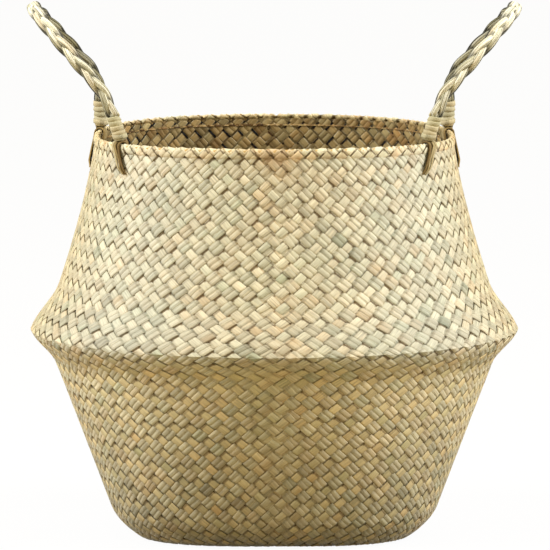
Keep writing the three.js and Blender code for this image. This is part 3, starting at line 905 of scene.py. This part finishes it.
def braidLeaves():
    # each strand swings across as a sine and in and out as a sine of twice the rate, a third of a
    # period behind the last one; its leaves lie side by side round an oval
    h, b = handle, braid
    points, face, run = archLine(b["rows"])
    tangent = unit(np.gradient(points, axis=0))
    depthWay = unit(np.cross(tangent, face))
    face = unit(np.cross(depthWay, tangent))
    fromWhip = np.minimum(run, run[-1] - run) - h["neckStart"] * h["whipSpan"]
    grown = ease(fromWhip / h["neckLength"])
    inWhip = np.clip(-fromWhip / b["whipReach"], 0, 1)
    squeezed = (1 - b["whipSqueeze"] * inWhip) / 2
    halfWidth = (h["neckWidth"] + (h["gripWidth"] - h["neckWidth"]) * grown) * squeezed
    halfThick = h["neckThickness"] + (h["gripThickness"] - h["neckThickness"]) * grown
    halfThick = halfThick * squeezed
    toBack = ease((run / run[-1] - b["backStart"]) / b["backReach"])
    strandWide = b["strandHalfWidth"] * halfWidth
    strandThick = b["strandHalfThickness"] * halfThick
    leafWide = b["leafLap"] * math.pi * (strandWide + strandThick) / 2 / b["leavesPerStrand"]
    grids, maps, drynesses, shades = [], [], [], []
    for strand in range(b["strands"]):
        phase = 2 * np.pi * (run / b["period"] + strand / b["strands"])
        swing = b["swing"] * halfWidth * np.sin(phase)
        inOut = b["depthSwing"] * halfThick * np.sin(2 * phase)
        slope = np.gradient(swing, run)
        way = unit(tangent + face * slope[:, None])
        wideWay = unit(face - tangent * slope[:, None])
        thickWay = unit(np.cross(way, wideWay))
        strandCentre = points + face * swing[:, None] + depthWay * inOut[:, None]
        for leaf in range(b["leavesPerStrand"]):
            roll = 2 * np.pi * (leaf + 0.5) / b["leavesPerStrand"]
            roll += b["rollSway"] * np.sin(phase * 0.5 + strand)
            wide, thick = strandWide[:, None] * wideWay, strandThick[:, None] * thickWay
            sine, cosine = np.sin(roll)[:, None], np.cos(roll)[:, None]
            middle = strandCentre + sine * wide + cosine * thick
            flat = unit(cosine * wide - sine * thick)
            normal = unit(np.cross(flat, way))
            across = leafWide[:, None] * sectionAcross
            ring = leafRings(middle, flat, normal, across, b["leafHalfThickness"])
            grids.append(ring)
            maps.append(leafMapOf(sectionAcross * b["mapHalfWidth"], run + 0.3 * len(grids)))
            tone = b["middleDryness"] + b["leafDryness"] * rng.normal()
            tone += b["slowDryness"] * np.sin(phase * 0.31 + leaf)
            tone += b["edgeDryness"] * np.abs(np.sin(roll)) ** 3 + b["backDryness"] * toBack
            drynesses.append(np.broadcast_to(tone[:, None], ring.shape[:2]))
            # painted shade where the strand dives under, at its sides, inside the whipping, on the
            # back leg and at each leaf's edges
            under = np.clip(-np.sign(np.cos(roll)) * np.sin(2 * phase), 0, 1)
            tint = b["middleShade"] + b["leafShade"] * rng.normal() + b["underShade"] * under
            tint += b["edgeShade"] * np.abs(np.sin(roll)) ** 5
            tint += b["whipShade"] * inWhip + b["backShade"] * toBack
            edged = np.where(np.abs(sectionAcross) == 1, b["leafEdgeShade"], 0)
            tint = np.clip(tint, b["darkest"], b["lightest"])[:, None] + edged
            shades.append(np.maximum(tint, b["darkestEdge"]))
    return np.array(grids), np.array(maps), np.clip(np.array(drynesses), 0, 1), np.array(shades)


whipping = {
    "turns": 5.6,
    "bottom": -0.0046,  # below the pivot, on the strands
    "topGap": 0.001,
    "proud": 0.0001,
    "footClosing": 0.0012,
    "footReach": 0.0030,
    "leafHalfWidth": 0.00205,
    "leafHalfThickness": 0.0006,
    "rowsPerTurn": 22,
    "tieHeight": -0.0008,  # the strip tied across the foot
    "tieTilt": 0.0010,
    "tieHalfWidth": 0.0017,
    "tieTurns": 1.1,
    "tieStart": -1.9,  # radians
    "tieProud": 0.0007,
    "uneven": 0.00018,  # the turns don't all lie at one radius
    "middleDryness": 0.42,
    "drynessSwing": 0.2,
    "middleShade": -0.2,
    "shadeSwing": 0.25,
    # painted shade at the wound leaf's edges, between the turns
    "edgeShade": -0.9,
}


def rootFrame(end):
    # the straight line on which a root stands: end is -1 at the front root and 1 at the back one
    lean = handle["frontLean"] if end < 0 else handle["backLean"]
    axis = outward * math.sin(lean) + upward * math.cos(lean)
    foot = rootMiddle + alongRoots * end * rootChord / 2 + upward * handle["pivotHeight"]
    sideWay = outward * math.cos(lean) - upward * math.sin(lean)
    return foot, axis, sideWay


def bandRound(end, turn, level, radius, halfWidth):
    # a flat leaf that goes round a root's line, at a level and radius for each row
    foot, axis, sideWay = rootFrame(end)
    radial = sideWay * np.cos(turn)[:, None] + alongRoots * np.sin(turn)[:, None]
    centre = foot + axis * level[:, None] + radial * radius[:, None]
    slopeOut = np.gradient(radius) / np.maximum(np.abs(np.gradient(level)), 1e-5)
    slopeOut = np.clip(slopeOut, -1.2, 1.2)
    flat = unit(axis + radial * slopeOut[:, None])
    normal = unit(radial - axis * slopeOut[:, None])
    across = halfWidth * sectionAcross
    return leafRings(centre, flat, normal, across, whipping["leafHalfThickness"])


def whippingLeaf(end):
    # one leaf wound round the braid's end, closing in over the round end at its foot, and a strip
    # tied across the foot
    w, h = whipping, handle
    rows = int(w["turns"] * w["rowsPerTurn"])
    share = np.linspace(0, 1, rows)
    level = w["bottom"] + (h["whipSpan"] - w["topGap"] - w["bottom"]) * share
    closing = w["footClosing"] * bell(level - w["bottom"], w["footReach"])
    radius = h["whipRadius"] + w["proud"] - closing
    turn = 2 * np.pi * w["turns"] * share
    uneven = w["uneven"] * np.sin(turn * 0.83 + end)
    wound = bandRound(end, turn, level, radius + uneven, w["leafHalfWidth"])
    tieTurn = np.linspace(0, 2 * np.pi * w["tieTurns"], rows) + w["tieStart"]
    tieLevel = w["tieHeight"] + w["tieTilt"] * np.sin(tieTurn + 1.2)
    tieRadius = h["whipRadius"] + w["tieProud"] + 0 * tieTurn
    tie = bandRound(end, tieTurn, tieLevel, tieRadius, w["tieHalfWidth"])
    grid = np.stack([wound, tie])
    run = np.stack([turn * h["whipRadius"], tieTurn * h["whipRadius"] + 0.5])
    leafMap = leafMapOf(sectionAcross * w["leafHalfWidth"], run + end)
    dryness = w["middleDryness"] + w["drynessSwing"] * np.sin(turn * 0.21 + end)[:, None]
    shade = w["shadeSwing"] * np.sin(turn * 0.13 + 2 * end)[:, None] + w["middleShade"]
    # painted shade along the edges between the turns
    shade = shade + w["edgeShade"] * np.abs(sectionAcross) ** 6
    return grid, leafMap, dryness, shade


# drop is down the outside, drift along the rim on the way down, less than nought being forwards;
# dryness is the middle strand's, and the step what each strand further back has more
anchor = {
    "front": {"drop": 0.0205, "drift": -0.0120, "dryness": 0.58, "drynessStep": 0.24},
    "back": {"drop": 0.0250, "drift": -0.0200, "dryness": 0.64, "drynessStep": 0.06},
    "pitch": 0.0038,
    "inside": 0.006,  # down the inside
    "lowered": 0.0027,  # from the rim's height to the middle of the turn over the hem
    "halfWidth": 0.0014,
    "tipHalfWidth": 0.0006,
    "halfThickness": 0.0005,
    "proud": 0.0021,
    "tipSink": 0.0018,  # the tips are tucked into the plait
    "sinkStart": 0.75,  # of the way down
    "uneven": 0.0004,
    # the broad dark leaf under the strips is painted shade in the slits between them
    "underProud": 0.0010,
    "underHalfWidth": 0.0042,
    "underTipHalfWidth": 0.0014,
    "underShadowTone": 0.02,
    "rows": 40,
    "close": 0.45,  # share of the pitch that is lost towards the tips
    "leafDryness": 0.08,
    "leafShade": 0.2,
}


def anchorLeaves(end):
    # three leaves from the whipping's foot over the hem and down the outside, drawn together at
    # their ends, over a broad dark one, painted shade that fills the slits between them
    n = anchor
    foot = rootFrame(end)[0]
    rootAngle = math.atan2(foot[1], foot[0])
    top = basket["rimHeight"]
    radiusHere = float(outerRadius(rootAngle, top))
    root = n["front"] if end < 0 else n["back"]
    drop = root["drop"]
    strips = [(place, n["proud"], n["halfWidth"], n["tipHalfWidth"]) for place in (-1, 0, 1)]
    strips.append((0, n["underProud"], n["underHalfWidth"], n["underTipHalfWidth"]))
    grids, maps, drynesses, shades = [], [], [], []
    for number, (place, proud, halfWidth, tipHalfWidth) in enumerate(strips):
        under = proud == n["underProud"]
        e = basket["wallThickness"] / 2 + proud
        whole = n["inside"] + math.pi * e + drop
        gone = np.linspace(n["inside"] if under else 0, whole, n["rows"])
        bend = np.clip((gone - n["inside"]) / e, 0, math.pi)
        after = np.maximum(gone - n["inside"] - math.pi * e, 0)
        before = np.minimum(gone, n["inside"])
        level = top - n["inside"] - n["lowered"] + before + e * np.sin(bend) - after
        out = -e * np.cos(bend)
        share = np.clip(after / drop, 0, 1)
        sideways = place * n["pitch"] * (1 - n["close"] * share) + root["drift"] * share
        sideways += n["uneven"] * np.sin(share * 7 + number * 2.1 + end)
        angle = rootAngle + sideways / radiusHere
        sink = -n["tipSink"] * ease((share - n["sinkStart"]) / (1 - n["sinkStart"]))
        middle = outerRadius(angle, np.minimum(level, top)) - basket["wallThickness"] / 2
        radius = middle + out + sink
        x, y = radius * np.cos(angle), radius * np.sin(angle)
        centre = np.stack([x, y, dipped(angle, level)], -1)
        tangent = unit(np.gradient(centre, axis=0))
        around = np.stack([-np.sin(angle), np.cos(angle), 0 * angle], -1)
        normal = unit(np.cross(around, tangent))
        wide = halfWidth + (tipHalfWidth - halfWidth) * share
        across = wide[:, None] * sectionAcross
        ring = leafRings(centre, around, normal, across, n["halfThickness"])
        grids.append(ring)
        maps.append(leafMapOf(sectionAcross * halfWidth, gone + number))
        tone = n["underShadowTone"]
        if not under:
            tone = root["dryness"] + root["drynessStep"] * place
            tone += n["leafDryness"] * rng.normal()
        drynesses.append(np.full(ring.shape[:2], tone))
        shades.append(np.full(ring.shape[:2], n["leafShade"] * rng.normal()))
    shades = np.clip(np.array(shades), -1, 1)
    return np.array(grids), np.array(maps), np.array(drynesses), shades


def makeHandle(sideName, side):
    # a braid and two whippings that turn with the handle, and the strands that stay on the rim
    grid, *rest = braidLeaves()
    piece = putRibbons(f"handle_{sideName}_braid", mirrored(grid, side), *rest, "braid")
    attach(piece, f"{sideName}_handle")
    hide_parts(f"handle_{sideName}")
    for rootName, end in (("front", -1), ("back", 1)):
        grid, *rest = whippingLeaf(end)
        name = f"whipping_{rootName}_{sideName}_leaf"
        piece = putRibbons(name, mirrored(grid, side), *rest, "whipping")
        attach(piece, f"{sideName}_handle")
        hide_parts(f"whipping_{rootName}_{sideName}")
        grid, *rest = anchorLeaves(end)
        name = f"anchor_{rootName}_{sideName}_leaves"
        piece = putRibbons(name, mirrored(grid, side), *rest, "strand")
        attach(piece, "top")
        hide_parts(*(f"anchor_{rootName}_{sideName}_{k}" for k in (1, 2, 3)))


makeHandle("left", -1)
makeHandle("right", 1)
print("handles braided")

# The camera looks from far off, nearly level, as the photograph does
view = {
    "photoPixels": 550,
    "metresPerPixel": 0.0007392,  # at the target
    "distance": 6.55,
    "elevation": math.radians(6.65),
    "targetHeight": 0.1884,
    "targetShift": 0.0005,
    "sensor": 36.0,
}


def makeCamera():
    # the lens that gives the photograph's scale at the target: sensor x distance / width seen
    v = view
    data = bpy.data.cameras.new("camera")
    data.sensor_width = v["sensor"]
    data.lens = v["sensor"] * v["distance"] / (v["photoPixels"] * v["metresPerPixel"])
    data.clip_end = 60
    camera = bpy.data.objects.new("camera", data)
    away = v["distance"] * math.cos(v["elevation"])
    up = v["targetHeight"] + v["distance"] * math.sin(v["elevation"])
    camera.location = (v["targetShift"], -away, up)
    camera.rotation_euler = (math.pi / 2 - v["elevation"], 0, 0)
    bpy.context.scene.collection.objects.link(camera)
    bpy.context.scene.camera = camera


makeCamera()

studio = {
    "sideLight": 42.0,
    "sideDirection": (0.801, -0.215, 0.559),
    "sideDistance": 2.2,
    "sideSize": 1.3,
    "target": (0, 0, 0.15),
    "worldLight": 0.52,
    "worldColour": "FBE9B4",
    "floorPaper": "8E7D54",  # as the basket sees it; the camera sees white
    "floorGlow": 0.95,  # how much of the paper's white is its own, so that the shadow stays soft
    "floorSize": 60.0,
}


def makeLamp(name, direction):
    # a square soft light that looks at the target: its own +Z points back along the direction
    s = studio
    data = bpy.data.lights.new(name, "AREA")
    data.shape = "SQUARE"
    data.size = s["sideSize"]
    data.energy = s["sideLight"]
    lamp = bpy.data.objects.new(name, data)
    way = np.array(direction) / np.linalg.norm(direction)
    lamp.location = np.array(s["target"]) + way * s["sideDistance"]
    lamp.rotation_euler = (math.acos(way[2]), 0, math.atan2(way[0], -way[1]))
    bpy.context.scene.collection.objects.link(lamp)


def seenRays(tree):
    # 1 for the rays that show the backdrop: the camera's own, and those that gloss or glass send on
    path = addNode(tree, "LightPath").outputs
    seen = path["Is Camera Ray"]
    for other in ("Is Glossy Ray", "Is Transmission Ray"):
        seen = addNode(tree, "Math", {"operation": "MAXIMUM"}, {0: seen, 1: path[other]})
    return seen


def makeWorld():
    # an even, slightly warm room; the camera sees it as pure white
    world = bpy.data.worlds.new("studio")
    world.use_nodes = True
    tree = world.node_tree
    background = tree.nodes["Background"]
    background.inputs["Color"].default_value = srgb(studio["worldColour"])
    background.inputs["Strength"].default_value = studio["worldLight"]
    white = addNode(tree, "Background", {"Color": (1, 1, 1, 1), "Strength": 1.0})
    mixed = addNode(tree, "MixShader", links={0: seenRays(tree), 1: background, 2: white})
    tree.links.new(mixed.outputs[0], tree.nodes["World Output"].inputs["Surface"])
    bpy.context.scene.world = world


def makeFloor():
    # paper that the camera sees as white, with a soft shadow on it; it throws little light back
    size = studio["floorSize"] / 2
    mesh = bpy.data.meshes.new("floor")
    corners = [(-size, -size, 0), (size, -size, 0), (size, size, 0), (-size, size, 0)]
    mesh.from_pydata(corners, [], [(0, 1, 2, 3)])
    floor = bpy.data.objects.new("floor", mesh)
    bpy.context.scene.collection.objects.link(floor)
    material = bpy.data.materials.new("white studio paper")
    material.use_nodes = True
    tree = material.node_tree
    shader = tree.nodes["Principled BSDF"]
    shader.inputs["Roughness"].default_value = 0.9
    seen = seenRays(tree)
    paper = {"data_type": "RGBA", 6: srgb(studio["floorPaper"]), 7: (1, 1, 1, 1)}
    colour = addNode(tree, "Mix", paper, {0: seen})
    tree.links.new(colour.outputs[2], shader.inputs["Base Color"])
    glow = addNode(tree, "Emission", {"Color": (1, 1, 1, 1), "Strength": 1.0})
    glowing = addNode(tree, "Math", {"operation": "MULTIPLY", 1: studio["floorGlow"]}, {0: seen})
    mixed = addNode(tree, "MixShader", links={0: glowing, 1: shader, 2: glow})
    tree.links.new(mixed.outputs[0], tree.nodes["Material Output"].inputs["Surface"])
    mesh.materials.append(material)


sideways, forward, above = studio["sideDirection"]
makeLamp("softbox left", (-sideways, forward, above))
makeLamp("softbox right", (sideways, forward, above))
makeWorld()
makeFloor()
bpy.context.scene.view_settings.view_transform = "Standard"
print("studio made")
